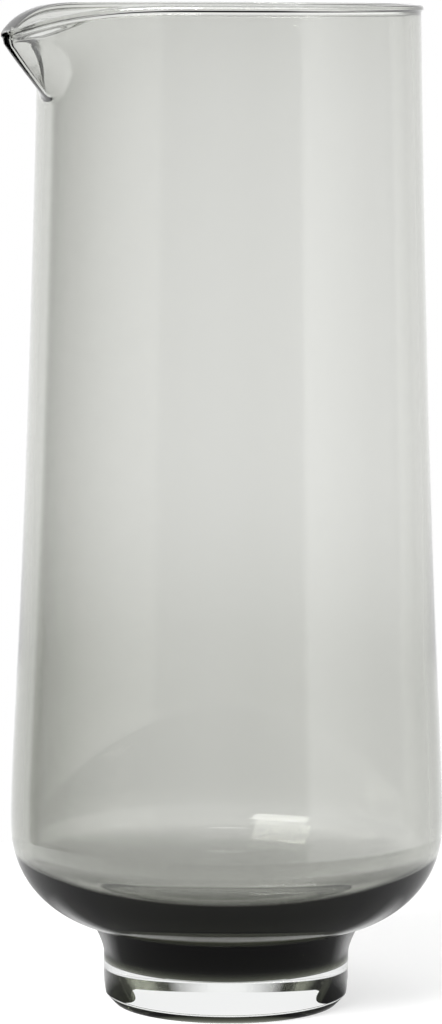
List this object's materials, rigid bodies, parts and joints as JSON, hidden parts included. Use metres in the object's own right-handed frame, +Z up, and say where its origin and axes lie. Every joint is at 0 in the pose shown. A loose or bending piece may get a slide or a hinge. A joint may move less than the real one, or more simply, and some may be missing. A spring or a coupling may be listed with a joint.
{
  "type": "glass carafe",
  "caption": "Smoke-grey blown glass carafe with a beaded rim and a drawn pouring spout, standing on a short solid stem fused to a clear glass foot.",
  "frame": {"origin": "middle of the foot's flat underside, on the axis of the bowl, where the carafe stands on the table", "axes": "+Z up along the axis of the bowl, -X towards the tip of the spout, +Y to the side; XZ is the plane of symmetry"},
  "size_m": [0.1119, 0.107, 0.2466],
  "materials": {
    "smoke_glass": "blown soda-lime glass with a neutral smoke tint, fire-polished; pale where the wall is thin, nearly black in the solid stem",
    "clear_glass": "clear soda-lime glass, fire-polished side, bevelled lower edge and ground underside"
  },
  "bodies": {
    "root": {"bowl": "smoke_glass", "foot": "clear_glass"}
  },
  "joints": []
}
